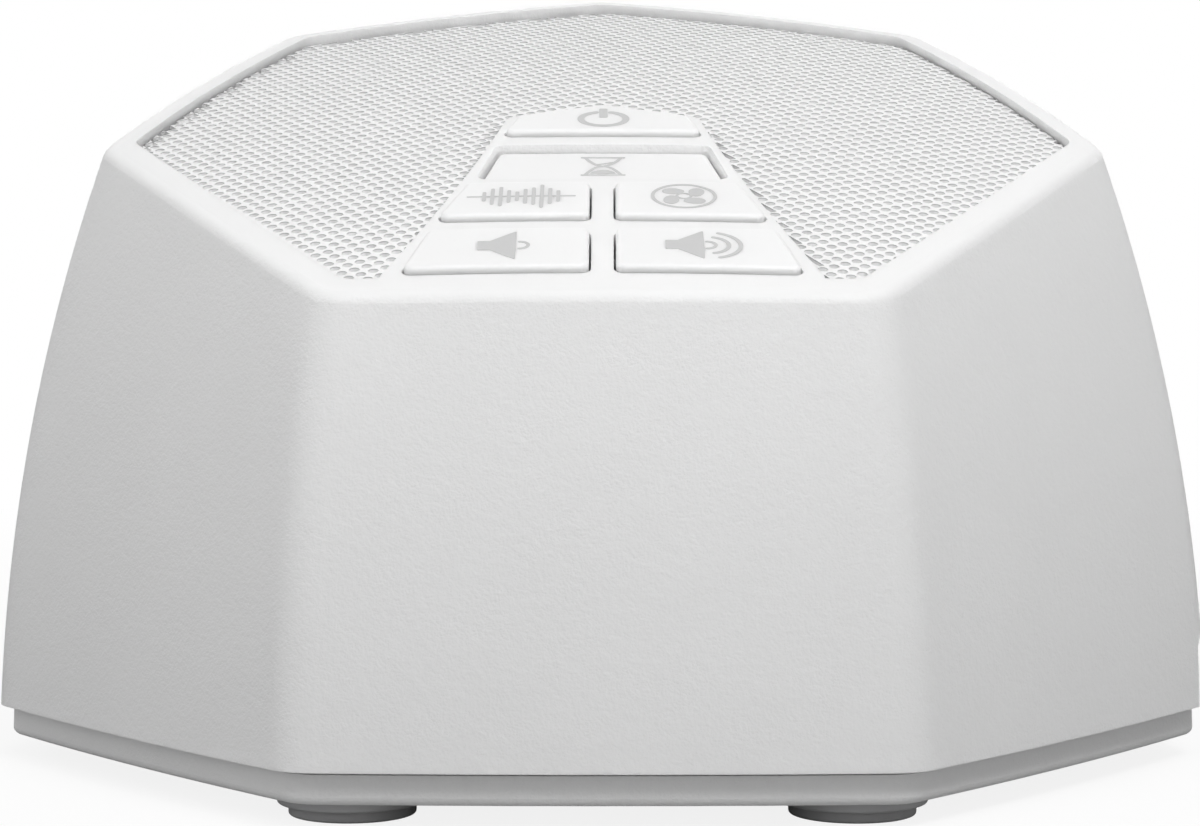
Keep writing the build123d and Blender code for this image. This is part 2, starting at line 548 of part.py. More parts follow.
# ---------------------------------------------------------------- key board and switches
def make_key_board():
    points = [(-KEY_BOARD_FRONT_HALF, KEY_BOARD_FRONT), (KEY_BOARD_FRONT_HALF, KEY_BOARD_FRONT),
              (KEY_BOARD_REAR_HALF, KEY_BOARD_REAR), (-KEY_BOARD_REAR_HALF, KEY_BOARD_REAR)]
    outline = make_face(Polyline(*points, close=True))
    board = prism(fillet(outline.vertices(), 2.0), KEY_BOARD_LEVEL - BOARD_THICK, KEY_BOARD_LEVEL)
    for x, v in BOARD_SCREW_PLACES:
        board -= rod(x, v, KEY_BOARD_LEVEL - 2 * BOARD_THICK, KEY_BOARD_LEVEL + 1, SMALL_SHAFT + HOLE_PLAY)
    return board


def make_key_board_screw(x, v):
    return TOP * Pos(x, v, KEY_BOARD_LEVEL - BOARD_THICK) * small_screw(BOARD_SCREW_LENGTH)


def make_switch(key):
    low = KEY_BOARD_LEVEL
    body = block(key.middle, key.switch_at, low, low + SWITCH_BODY, SWITCH_SIDE, SWITCH_SIDE)
    top = low + SWITCH_BODY
    return body + rod(key.middle, key.switch_at, top - 0.5, top + SWITCH_PLUNGER, SWITCH_PLUNGER_RADIUS)


# ---------------------------------------------------------------- loudspeaker
def ring(inner, outer, low, high):
    """A ring round the speaker's axis, at levels under the top's plane."""
    return rod(0, SPEAKER_AT, low, high, outer) - rod(0, SPEAKER_AT, low - 1, high + 1, inner)


def turned(*points):
    """A profile of radius and level, turned about the speaker's axis."""
    flat = Polyline(*[(radius, 0, level) for radius, level in points], close=True)
    return TOP * Pos(0, SPEAKER_AT, 0) * revolve(make_face(flat), Axis.Z)


BASKET_LOW = FLANGE_LOW - BASKET_DEPTH
PLATE_TOP = BASKET_LOW
PLATE_LOW = PLATE_TOP - PLATE_THICK
MAGNET_LOW = PLATE_LOW - MAGNET_THICK
CONE_TOP = FLANGE_TOP - CONE_DROP
COIL_TOP = CONE_TOP - CONE_DEPTH
SPIDER_LEVEL = COIL_TOP - 0.8
PLATE_HOLE = COIL_RADIUS + COIL_WALL + COIL_GAP


def make_gasket():
    return ring(SOUND_HOLE + 0.2, FLANGE_RADIUS, FLANGE_TOP, SPEAKER_SEAT) - speaker_holes(HOLE_PLAY)


def speaker_holes(play):
    holes = []
    for turn in SPEAKER_SCREW_TURNS:
        x, v = speaker_place(turn, SPEAKER_SCREW_CIRCLE)
        holes.append(rod(x, v, FLANGE_LOW - 1, SPEAKER_SEAT + 0.5, SMALL_SHAFT + play))
    return joined(holes)


def make_basket():
    inner = SOUND_HOLE - BASKET_SHEET
    shell = turned((FLANGE_RADIUS, FLANGE_TOP), (inner, FLANGE_TOP), (inner, FLANGE_LOW),
                   (BASKET_THROAT, BASKET_LOW + BASKET_SHEET), (PLATE_HOLE, BASKET_LOW + BASKET_SHEET),
                   (PLATE_HOLE, BASKET_LOW), (BASKET_THROAT + BASKET_SHEET, BASKET_LOW),
                   (inner + BASKET_SHEET, FLANGE_LOW), (FLANGE_RADIUS, FLANGE_LOW))
    middle = (FLANGE_LOW + BASKET_LOW) / 2
    for turn in (0, 90, 180, 270):
        window = Pos(0, SPEAKER_AT, middle + 1.5) * Rot(0, 0, turn) * Pos(SOUND_HOLE, 0, 0)
        shell -= TOP * window * Box(BASKET_THROAT, BASKET_THROAT, BASKET_DEPTH * 0.4)
    return shell - speaker_holes(HOLE_PLAY)


def make_cone():
    neck = COIL_RADIUS + COIL_WALL
    return turned((neck, COIL_TOP), (CONE_EDGE, CONE_TOP), (CONE_EDGE, CONE_TOP - CONE_SHEET),
                  (neck, COIL_TOP - CONE_SHEET * 1.4))


def make_dust_cap():
    neck = COIL_RADIUS + COIL_WALL
    slope = CONE_DEPTH / (CONE_EDGE - neck)
    foot = COIL_TOP + slope * CAP_OVERHANG
    radius = neck + CAP_OVERHANG
    bow = (radius**2 + CAP_RISE**2) / (2 * CAP_RISE)
    centre = Pos(0, SPEAKER_AT, foot + CAP_RISE - bow)
    shell = centre * (Sphere(bow) - Sphere(bow - CAP_SHEET))
    return TOP * (shell & Pos(0, SPEAKER_AT, foot + CAP_RISE) * Cylinder(radius, 2 * CAP_RISE))


def make_surround():
    inner, outer, level = CONE_EDGE + GLUE_LINE, SOUND_HOLE - BASKET_SHEET, CONE_TOP
    middle = (inner + outer) / 2
    sheet = SURROUND_SHEET
    roll = [ThreePointArc((inner, 0, level), (middle, 0, level + SURROUND_ROLL), (outer, 0, level)),
            Line((outer, 0, level), (outer, 0, level - sheet)),
            ThreePointArc((outer, 0, level - sheet), (middle, 0, level + SURROUND_ROLL - sheet),
                          (inner, 0, level - sheet)),
            Line((inner, 0, level - sheet), (inner, 0, level))]
    return TOP * Pos(0, SPEAKER_AT, 0) * revolve(Face(Wire(roll)), Axis.Z)


def make_spider():
    """A corrugated ring between the voice coil and the basket."""
    inner = COIL_RADIUS + COIL_WALL + GLUE_LINE
    share = (SPIDER_LEVEL - BASKET_LOW - BASKET_SHEET) / (BASKET_DEPTH - BASKET_SHEET)
    outer = BASKET_THROAT + share * (SOUND_HOLE - BASKET_SHEET - BASKET_THROAT) - 0.15
    waves = 6
    step = (outer - inner) / waves
    upper = [(inner + i * step, SPIDER_LEVEL + (0.35 if i % 2 else 0)) for i in range(waves + 1)]
    lower = [(radius, level - 0.25) for radius, level in reversed(upper)]
    return turned(*upper, *lower)


def make_voice_coil():
    return ring(COIL_RADIUS, COIL_RADIUS + COIL_WALL - 0.02, COIL_TOP - COIL_LENGTH, COIL_TOP)


def make_top_plate():
    return ring(PLATE_HOLE, PLATE_RADIUS, PLATE_LOW, PLATE_TOP)


def make_magnet():
    return ring(MAGNET_HOLE, MAGNET_RADIUS, MAGNET_LOW, PLATE_LOW)


def make_yoke():
    plate = rod(0, SPEAKER_AT, MAGNET_LOW - PLATE_THICK, MAGNET_LOW, PLATE_RADIUS)
    return plate + rod(0, SPEAKER_AT, MAGNET_LOW - PLATE_THICK, PLATE_TOP, POLE_RADIUS)


def make_speaker_screw(turn):
    x, v = speaker_place(turn, SPEAKER_SCREW_CIRCLE)
    return TOP * Pos(x, v, FLANGE_LOW) * small_screw(SPEAKER_SCREW_LENGTH)


# ---------------------------------------------------------------- main board and what it carries
def main_screw_places():
    near, far = MAIN_NEAR + MAIN_SCREW_INSET, RECESS_PLANE - 2 * PORT_BACKING - MAIN_SCREW_INSET
    left, right = MAIN_LEFT + MAIN_SCREW_INSET, MAIN_RIGHT - MAIN_SCREW_INSET
    return [(near, left), (near, right), (far, left), (far, right)]


def make_main_board():
    far = RECESS_PLANE - PORT_BACKING - 0.5
    board = port_box(MAIN_NEAR, far, MAIN_LEFT, MAIN_RIGHT, MAIN_BOTTOM, MAIN_TOP)
    half = JACK_SIDE / 2 + HOLE_PLAY
    board -= port_box(far - JACK_DEEP - HOLE_PLAY, far + 1, JACK_AT - half, JACK_AT + half,
                      MAIN_BOTTOM - 1, MAIN_TOP + 1)
    for out, along in main_screw_places():
        board -= port_rod(out, along, MAIN_BOTTOM - 1, MAIN_TOP + 1, SMALL_SHAFT + HOLE_PLAY)
    return board


def make_main_screw(out, along):
    return Rot(0, 0, PORT_TURN) * Pos(out, along, MAIN_TOP) * Rot(180, 0, 0) * small_screw(MAIN_SCREW_LENGTH)


def make_usb_socket():
    """A micro socket: a folded metal shell with a keyed mouth and a tongue inside."""
    far = RECESS_PLANE - 0.3
    near = far - USB_DEEP
    half, high = USB_WIDE / 2, USB_HIGH / 2
    shell = port_box(near, far, USB_AT - half, USB_AT + half, PORT_HEIGHT - high, PORT_HEIGHT + high)
    wide, tall = half - USB_SHEET, high - USB_SHEET
    key = 0.8
    mouth = Polyline((0, -wide + key, -tall), (0, wide - key, -tall), (0, wide, -tall + key),
                     (0, wide, tall), (0, -wide, tall), (0, -wide, -tall + key), close=True)
    mouth = extrude(make_face(mouth), USB_DEEP - 1, dir=(1, 0, 0))
    shell -= Rot(0, 0, PORT_TURN) * Pos(near + 1.2, USB_AT, PORT_HEIGHT) * mouth
    return shell + port_box(near + 1, far - 1, USB_AT - wide + 1.2, USB_AT + wide - 1.2,
                            PORT_HEIGHT + 0.05, PORT_HEIGHT + 0.55)


def make_headphone_jack():
    shoulder = RECESS_PLANE - PORT_BACKING - 0.4
    half = JACK_SIDE / 2
    body = port_box(shoulder - JACK_DEEP, shoulder, JACK_AT - half, JACK_AT + half,
                    PORT_HEIGHT - half, PORT_HEIGHT + half)
    face = RECESS_PLANE - 0.3
    line = Rot(0, 0, PORT_TURN) * Pos(0, JACK_AT, PORT_HEIGHT) * Rot(0, 90, 0)
    nose = line * Pos(0, 0, (shoulder - 1 + face) / 2) * Cylinder(JACK_NOSE, face - shoulder + 1)
    bore_end = shoulder - JACK_DEEP + 1.0
    bore = line * Pos(0, 0, (bore_end + face + 1) / 2) * Cylinder(JACK_BORE, face + 1 - bore_end)
    return body + nose - bore


def make_chip(out, along, long, wide, high):
    return port_box(out - long / 2, out + long / 2, along - wide / 2, along + wide / 2,
                    MAIN_TOP, MAIN_TOP + high)


def make_capacitor(out, along):
    can = port_rod(out, along, MAIN_TOP, MAIN_TOP + CAPACITOR_HIGH, CAPACITOR_RADIUS)
    return fillet(can.edges().sort_by(Axis.Z)[-1], SOFTEN)


def ribbon_ends():
    """Centres of the two ribbon connectors' cable sides, as (y, z)."""
    top_end = TOP * Pos(RIBBON_AT, RIBBON_FROM, KEY_BOARD_LEVEL - BOARD_THICK - CONNECTOR_HIGH)
    return (top_end.position.Y, top_end.position.Z), (RIBBON_LANDING, MAIN_TOP + CONNECTOR_HIGH)


def make_key_board_connector():
    low = KEY_BOARD_LEVEL - BOARD_THICK
    return block(RIBBON_AT, RIBBON_FROM, low - CONNECTOR_HIGH, low, RIBBON_WIDE + 2, CONNECTOR_DEEP)


def make_main_connector():
    middle = MAIN_TOP + CONNECTOR_HIGH / 2
    return Pos(RIBBON_AT, RIBBON_LANDING, middle) * Box(RIBBON_WIDE + 2, CONNECTOR_DEEP, CONNECTOR_HIGH)


def make_ribbon():
    (y0, z0), (y1, z1) = ribbon_ends()
    down = Vector(*UP) * -RIBBON_STRAIGHT
    path = FilletPolyline((0, y0, z0), (0, y0 + down.Y, z0 + down.Z),
                          (0, (y0 + y1) / 2 + RIBBON_SLACK, (z0 + z1) / 2),
                          (0, y1, z1 + RIBBON_STRAIGHT), (0, y1, z1), radius=RIBBON_BEND)
    start = Plane(origin=(0, y0, z0), x_dir=(1, 0, 0), z_dir=-UP)
    strip = sweep(start * Rectangle(RIBBON_WIDE, RIBBON_THICK), path=path)
    return Pos(RIBBON_AT, 0, 0) * strip


def lead_start(side):
    terminal = TOP * Pos(-TERMINAL_OUT, SPEAKER_AT + side * LEAD_APART, FLANGE_LOW - TERMINAL_LENGTH)
    return terminal.position


def make_terminal(side):
    """A solder tag that hangs from the basket flange."""
    return block(-TERMINAL_OUT, SPEAKER_AT + side * LEAD_APART, FLANGE_LOW - TERMINAL_LENGTH,
                 FLANGE_LOW, 1.6, 0.5)


def make_lead(side):
    begin = lead_start(side)
    end = Vector(LEAD_LANDING[0], LEAD_LANDING[1] + side * LEAD_APART / 2, MAIN_TOP + CONNECTOR_HIGH)
    drop = begin - UP * LEAD_DROP
    swing = Vector(begin.X + LEAD_SWING[0], begin.Y + LEAD_SWING[1], (begin.Z + end.Z) / 2)
    above = end + Vector(0, 0, LEAD_RISE)
    path = FilletPolyline(begin, drop, swing, above, end, radius=LEAD_BEND)
    start = Plane(origin=begin, z_dir=-UP)
    return sweep(start * Circle(LEAD_RADIUS), path=path)


def make_lead_connector():
    middle = MAIN_TOP + CONNECTOR_HIGH / 2
    return Pos(*LEAD_LANDING, middle) * Box(CONNECTOR_DEEP, 3 * LEAD_APART, CONNECTOR_HIGH)


# ---------------------------------------------------------------- the assembly
def build():
    pieces = {
        "top_housing": make_housing(), "speaker_grille": make_grille(), "grille_cloth": make_cloth(),
        "base_cover": make_base(), "key_board": make_key_board(), "main_board": make_main_board(),
    }
    for name in CORNERS:
        pieces[f"foot_{name}"] = make_foot(name)
        pieces[f"housing_screw_{name}"] = make_housing_screw(name)
    for key in KEYS:
        pieces[key.name] = make_key(key)
        pieces[key.name.replace("key_", "switch_")] = make_switch(key)
    for i, (x, v) in enumerate(BOARD_SCREW_PLACES, 1):
        pieces[f"key_board_screw_{i}"] = make_key_board_screw(x, v)
    for i, turn in enumerate(SPEAKER_SCREW_TURNS, 1):
        pieces[f"speaker_screw_{i}"] = make_speaker_screw(turn)
    pieces["main_board_screws"] = Compound([make_main_screw(*place).solid() for place in main_screw_places()])
    pieces.update({
        "speaker_gasket": make_gasket(), "speaker_basket": make_basket(),
        "speaker_top_plate": make_top_plate(), "speaker_magnet": make_magnet(),
        "speaker_yoke": make_yoke(), "speaker_voice_coil": make_voice_coil(),
        "speaker_spider": make_spider(), "speaker_cone": make_cone(),
        "speaker_surround": make_surround(), "speaker_dust_cap": make_dust_cap(),
        "usb_socket": make_usb_socket(), "headphone_jack": make_headphone_jack(),
        "sound_processor": make_chip(*PROCESSOR), "audio_amplifier": make_chip(*AMPLIFIER),
        "capacitors": Compound([make_capacitor(*place).solid() for place in CAPACITORS]),
        "ribbon_cable": make_ribbon(),
        "ribbon_connectors": Compound([make_key_board_connector().solid(), make_main_connector().solid()]),
        "speaker_lead_red": make_lead(1), "speaker_lead_black": make_lead(-1),
        "speaker_terminals": Compound([make_terminal(1).solid(), make_terminal(-1).solid()]),
        "lead_connector": make_lead_connector(),
    })
    return pieces


if __name__ == "__main__":
    os.makedirs("parts", exist_ok=True)
    for node, shape in build().items():
        export_step(shape, f"parts/{node}.step")
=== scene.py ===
import json
import math

import bpy
import numpy as np
from mathutils import Matrix, Vector
from mathutils.bvhtree import BVHTree
from mathutils.geometry import delaunay_2d_cdt


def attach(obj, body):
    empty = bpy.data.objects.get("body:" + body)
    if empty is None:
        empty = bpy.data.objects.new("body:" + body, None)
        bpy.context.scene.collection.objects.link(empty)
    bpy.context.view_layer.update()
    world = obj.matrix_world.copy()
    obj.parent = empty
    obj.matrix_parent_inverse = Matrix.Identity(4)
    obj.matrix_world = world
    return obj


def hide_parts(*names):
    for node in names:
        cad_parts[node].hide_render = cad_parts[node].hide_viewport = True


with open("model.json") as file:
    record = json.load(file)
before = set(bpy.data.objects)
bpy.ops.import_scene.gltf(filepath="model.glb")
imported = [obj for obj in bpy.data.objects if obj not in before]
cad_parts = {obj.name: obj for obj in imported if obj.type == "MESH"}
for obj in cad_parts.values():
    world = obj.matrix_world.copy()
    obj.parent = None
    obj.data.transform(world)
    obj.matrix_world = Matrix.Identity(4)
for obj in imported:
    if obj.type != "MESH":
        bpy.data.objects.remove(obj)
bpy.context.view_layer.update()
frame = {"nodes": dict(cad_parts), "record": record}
NODES = frame["nodes"]
MM = 0.001

# Lengths are in millimetres, but in metres in the materials and for the floor and the lamps.
# In the top's plane x is sideways, v runs up the slope to the rear, and n is square to it.
TOP_HEIGHT = 62.8
TOP_TILT = math.radians(19.9)
DOME_RADIUS = 560.0
GRILLE_DROP = 1.0                           # from the dome down to the grille's upper face
SHEET = 0.35

# The grille's holes stand on a square lattice, turned from the sideways direction.
PITCH = 1.172
LATTICE_TURN = math.radians(32.6)
HOLE_RADIUS = 0.45
HOLE_TURNS = np.radians(np.arange(12) * 30.0 + 15.0)
ALONG = np.array([math.cos(LATTICE_TURN), math.sin(LATTICE_TURN)])
ACROSS = np.array([-ALONG[1], ALONG[0]])
GRILLE_REACH = 60.0
GRILLE_SHARP = 40                           # degrees, above which an edge is drawn sharp
# Painted shade on the hole walls: its tone, and how far under the sheet's upper face it reaches.
HOLE_SHADE_TONE, HOLE_SHADE_DEPTH = 0.55, 0.08

# Painted shade: a dark strip under the grille's edge stands in for the shade in the gap there, and is wider
# beside the key panel.
SHADE_STRIP_WIDTH, PANEL_SHADE_STRIP_WIDTH = 0.35, 0.75
SHADE_STRIP_STEP = 0.8
SHADE_STRIP_LIFT = 0.02                            # above the sheet's lower face
PANEL_HALF_WIDTH, PANEL_REAR = 30.0, -6.0

INK_RISE, INK_SINK = 0.015, 0.02            # above and into a key's face
CAST_FROM = 8.0                             # a level above every key

LIGHT_REACH = 0.6                           # how far light travels inside the white plastic

CLOSE = 0.02                                # points nearer than this count as touching
MERGE = 1e-5
TINY = 1e-12


# ---------------------------------------------------------------- mesh helpers
def top_points(x, v, n):
    """Points of the top's plane in millimetres, as rows of metres."""
    x, v, n = np.broadcast_arrays(np.asarray(x, float), v, n)
    c, s = math.cos(TOP_TILT), math.sin(TOP_TILT)
    return np.stack([x, v * c - n * s, TOP_HEIGHT + v * s + n * c], -1) * MM


def plane_of(points):
    """The inverse of top_points: rows of metres to x, v and n in millimetres."""
    p = np.asarray(points, float) / MM
    c, s = math.cos(TOP_TILT), math.sin(TOP_TILT)
    y, z = p[:, 1], p[:, 2] - TOP_HEIGHT
    return np.stack([p[:, 0], y * c + z * s, -y * s + z * c], 1)


def dome_level(flat, drop):
    """The level n of the dome, or of a face at a drop under it, over rows of x and v."""
    return np.sqrt((DOME_RADIUS - drop) ** 2 - np.sum(np.square(flat[:, :2]), axis=1)) - DOME_RADIUS


def dome_points(flat, drop):
    return top_points(flat[:, 0], flat[:, 1], dome_level(flat, drop))


def turned_up(face, flat):
    """A face with its corners in the order that makes it look up."""
    x, v = flat[list(face)].T
    return face if np.sum(x * np.roll(v, -1) - v * np.roll(x, -1)) > 0 else face[::-1]


def skirt(faces, count):
    """Walls from the free edges of a layer of faces to its copy, whose corners lie count further on."""
    edges = {edge: None for face in faces for edge in zip(face, face[1:] + face[:1])}
    return [(b, a, a + count, b + count) for a, b in edges if (b, a) not in edges]


def make_object(name, points, faces, material, body, smooth=None):
    mesh = bpy.data.meshes.new(name)
    mesh.from_pydata([tuple(p) for p in points], [], [tuple(f) for f in faces])
    mesh.validate()
    mesh.update()
    if smooth is not None:
        mesh.shade_smooth()
        mesh.set_sharp_from_angle(angle=math.radians(smooth))
    piece = bpy.data.objects.new(name, mesh)
    bpy.context.scene.collection.objects.link(piece)
    piece.data.materials.append(material)
    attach(piece, body)
    return piece


# ---------------------------------------------------------------- shader helpers
def new_material(name):
    material = bpy.data.materials.new(name)
    material.use_nodes = True
    tree = material.node_tree
    tree.nodes.clear()
    out = tree.nodes.new("ShaderNodeOutputMaterial")
    shader = tree.nodes.new("ShaderNodeBsdfPrincipled")
    tree.links.new(shader.outputs["BSDF"], out.inputs["Surface"])
    place = tree.nodes.new("ShaderNodeTexCoord")
    return material, tree, shader, place.outputs["Object"]


def node_of(tree, kind):
    return next(node for node in tree.nodes if node.type == kind)


def noise(tree, place, scale, detail=2.0, rough=0.5):
    node = tree.nodes.new("ShaderNodeTexNoise")
    node.inputs["Scale"].default_value = scale
    node.inputs["Detail"].default_value = detail
    node.inputs["Roughness"].default_value = rough
    tree.links.new(place, node.inputs["Vector"])
    return node.outputs["Fac"]


def ranged(tree, value, low, high, start=0.3, end=0.7):
    node = tree.nodes.new("ShaderNodeMapRange")
    for key, number in (("From Min", start), ("From Max", end), ("To Min", low), ("To Max", high)):
        node.inputs[key].default_value = number
    tree.links.new(value, node.inputs["Value"])
    return node.outputs["Result"]


def mixed(tree, share, first, second):
    """One colour to another by a share. Each is three numbers or another node's output."""
    node = tree.nodes.new("ShaderNodeMix")
    node.data_type = "RGBA"
    for key, colour in (("A", first), ("B", second)):
        if isinstance(colour, tuple):
            node.inputs[key].default_value = (*colour, 1)
        else:
            tree.links.new(colour, node.inputs[key])
    tree.links.new(share, node.inputs["Factor"])
    return node.outputs["Result"]


def combined(tree, operation, first, second):
    node = tree.nodes.new("ShaderNodeMath")
    node.operation = operation
    tree.links.new(first, node.inputs[0])
    tree.links.new(second, node.inputs[1])
    return node.outputs[0]


def measured(tree, operation, vector, fixed=None):
    """One number from a vector, such as its length or its distance to a fixed point."""
    node = tree.nodes.new("ShaderNodeVectorMath")
    node.operation = operation
    tree.links.new(vector, node.inputs[0])
    if fixed is not None:
        node.inputs[1].default_value = fixed
    return node.outputs["Value"]


def bumped(tree, height, shader, strength, depth):
    node = tree.nodes.new("ShaderNodeBump")
    node.inputs["Strength"].default_value = strength
    node.inputs["Distance"].default_value = depth
    tree.links.new(height, node.inputs["Height"])
    tree.links.new(node.outputs["Normal"], shader.inputs["Normal"])


def shader_mix(tree, share, first, second):
    node = tree.nodes.new("ShaderNodeMixShader")
    tree.links.new(share, node.inputs["Fac"])
    tree.links.new(first, node.inputs[1])
    tree.links.new(second, node.inputs[2])
    return node.outputs[0]


def grey(value, span=0.012):
    return (value - span,) * 3, (value + span,) * 3


# ---------------------------------------------------------------- materials
def moulded(name, dark, light, rough, grain, depth, strength=0.5, specular=0.5):
    """A moulded or painted surface: slow colour drift, fine grain in the gloss and in the bump."""
    material, tree, shader, place = new_material(name)
    shader.inputs["Specular IOR Level"].default_value = specular
    drift = noise(tree, place, 90.0, 3.0)
    tree.links.new(mixed(tree, ranged(tree, drift, 0, 1), dark, light), shader.inputs["Base Color"])
    fine = noise(tree, place, grain, 3.0, 0.6)
    tree.links.new(ranged(tree, fine, rough * 0.88, min(rough * 1.12, 1.0)), shader.inputs["Roughness"])
    bumped(tree, fine, shader, strength, depth)
    return material


def spark_textured(name, value, rough, depth):
    """Spark-eroded plastic: two sizes of pits, fading on faces that look up, as on the polished rim."""
    material, tree, shader, place = new_material(name)
    shader.inputs["Specular IOR Level"].default_value = 0.35
    drift = noise(tree, place, 60.0, 2.0)
    tree.links.new(mixed(tree, ranged(tree, drift, 0, 1), *grey(value, 0.008)), shader.inputs["Base Color"])
    fine = noise(tree, place, 4200.0, 2.0, 0.6)
    coarse = noise(tree, place, 1500.0, 2.0, 0.5)
    facing = tree.nodes.new("ShaderNodeNewGeometry")
    parts = tree.nodes.new("ShaderNodeSeparateXYZ")
    tree.links.new(facing.outputs["Normal"], parts.inputs["Vector"])
    fade = ranged(tree, parts.outputs["Z"], 1.0, 0.06, 0.35, 0.85)
    height = combined(tree, "MULTIPLY", combined(tree, "ADD", fine, coarse), fade)
    tree.links.new(ranged(tree, fine, rough * 0.9, rough * 1.1), shader.inputs["Roughness"])
    bumped(tree, height, shader, 0.6, depth)
    return material


def translucent(material):
    """Light that travels a little way inside a white moulding."""
    shader = node_of(material.node_tree, "BSDF_PRINCIPLED")
    shader.subsurface_method = "RANDOM_WALK"
    shader.inputs["Subsurface Weight"].default_value = 1.0
    shader.inputs["Subsurface Radius"].default_value = (1.0, 1.0, 1.0)
    shader.inputs["Subsurface Scale"].default_value = LIGHT_REACH * MM
    return material


def painted_hole_shade(material):
    """Painted shade: a darker rim inside each hole, standing in for the shade on the hole walls: faces
    square to the top's plane, a little way down from the dome.
    """
    tree = material.node_tree
    shader = node_of(tree, "BSDF_PRINCIPLED")
    paint = shader.inputs["Base Color"].links[0].from_socket
    facing = tree.nodes.new("ShaderNodeNewGeometry").outputs["True Normal"]
    upward = (0.0, -math.sin(TOP_TILT), math.cos(TOP_TILT))
    flat = ranged(tree, measured(tree, "DOT_PRODUCT", facing, upward), 0, 1)
    place = tree.nodes.new("ShaderNodeTexCoord").outputs["Object"]
    dome_centre = top_points(0.0, 0.0, -DOME_RADIUS).tolist()
    edge = (DOME_RADIUS - GRILLE_DROP - HOLE_SHADE_DEPTH) * MM
    blend = 0.01 * MM
    below = ranged(tree, measured(tree, "DISTANCE", place, dome_centre), 1, 0, edge - blend, edge + blend)
    unshaded = combined(tree, "MAXIMUM", flat, below)
    # Where the mask is 0, the hole wall takes the painted shade tone.
    tree.links.new(mixed(tree, unshaded, (HOLE_SHADE_TONE,) * 3, paint), shader.inputs["Base Color"])
    return material


def woven(name, dark, light, wave_radius, depth):
    """Crossed threads, turned with the grille's holes. They lie 2 pi times wave_radius apart."""
    material, tree, shader, place = new_material(name)
    shader.inputs["Roughness"].default_value = 0.9
    shader.inputs["Sheen Weight"].default_value = 0.2
    heights = []
    for turn in (0.0, math.pi / 2):
        turned = tree.nodes.new("ShaderNodeMapping")
        turned.inputs["Rotation"].default_value = (0, 0, turn + LATTICE_TURN)
        tree.links.new(place, turned.inputs["Vector"])
        wave = tree.nodes.new("ShaderNodeTexWave")
        wave.inputs["Scale"].default_value = 1 / (20 * wave_radius)
        wave.inputs["Distortion"].default_value = 0.6
        tree.links.new(turned.outputs["Vector"], wave.inputs["Vector"])
        heights.append(wave.outputs["Fac"])
    weave = combined(tree, "MULTIPLY", *heights)
    tree.links.new(mixed(tree, weave, dark, light), shader.inputs["Base Color"])
    bumped(tree, weave, shader, 0.6, depth)
    return material


def brushed(name, tone, rough, scale, axis):
    """Turned or drawn metal: streaks along one axis."""
    material, tree, shader, place = new_material(name)
    shader.inputs["Metallic"].default_value = 1.0
    stretched = tree.nodes.new("ShaderNodeMapping")
    stretched.inputs["Scale"].default_value = tuple(0.06 if i == axis else 1.0 for i in range(3))
    tree.links.new(place, stretched.inputs["Vector"])
    streak = noise(tree, stretched.outputs["Vector"], scale, 3.0, 0.6)
    low = tuple(t * 0.86 for t in tone)
    tree.links.new(mixed(tree, ranged(tree, streak, 0, 1), low, tone), shader.inputs["Base Color"])
    tree.links.new(ranged(tree, streak, rough * 0.8, rough * 1.25), shader.inputs["Roughness"])
    bumped(tree, streak, shader, 0.25, 0.00001)
    return material


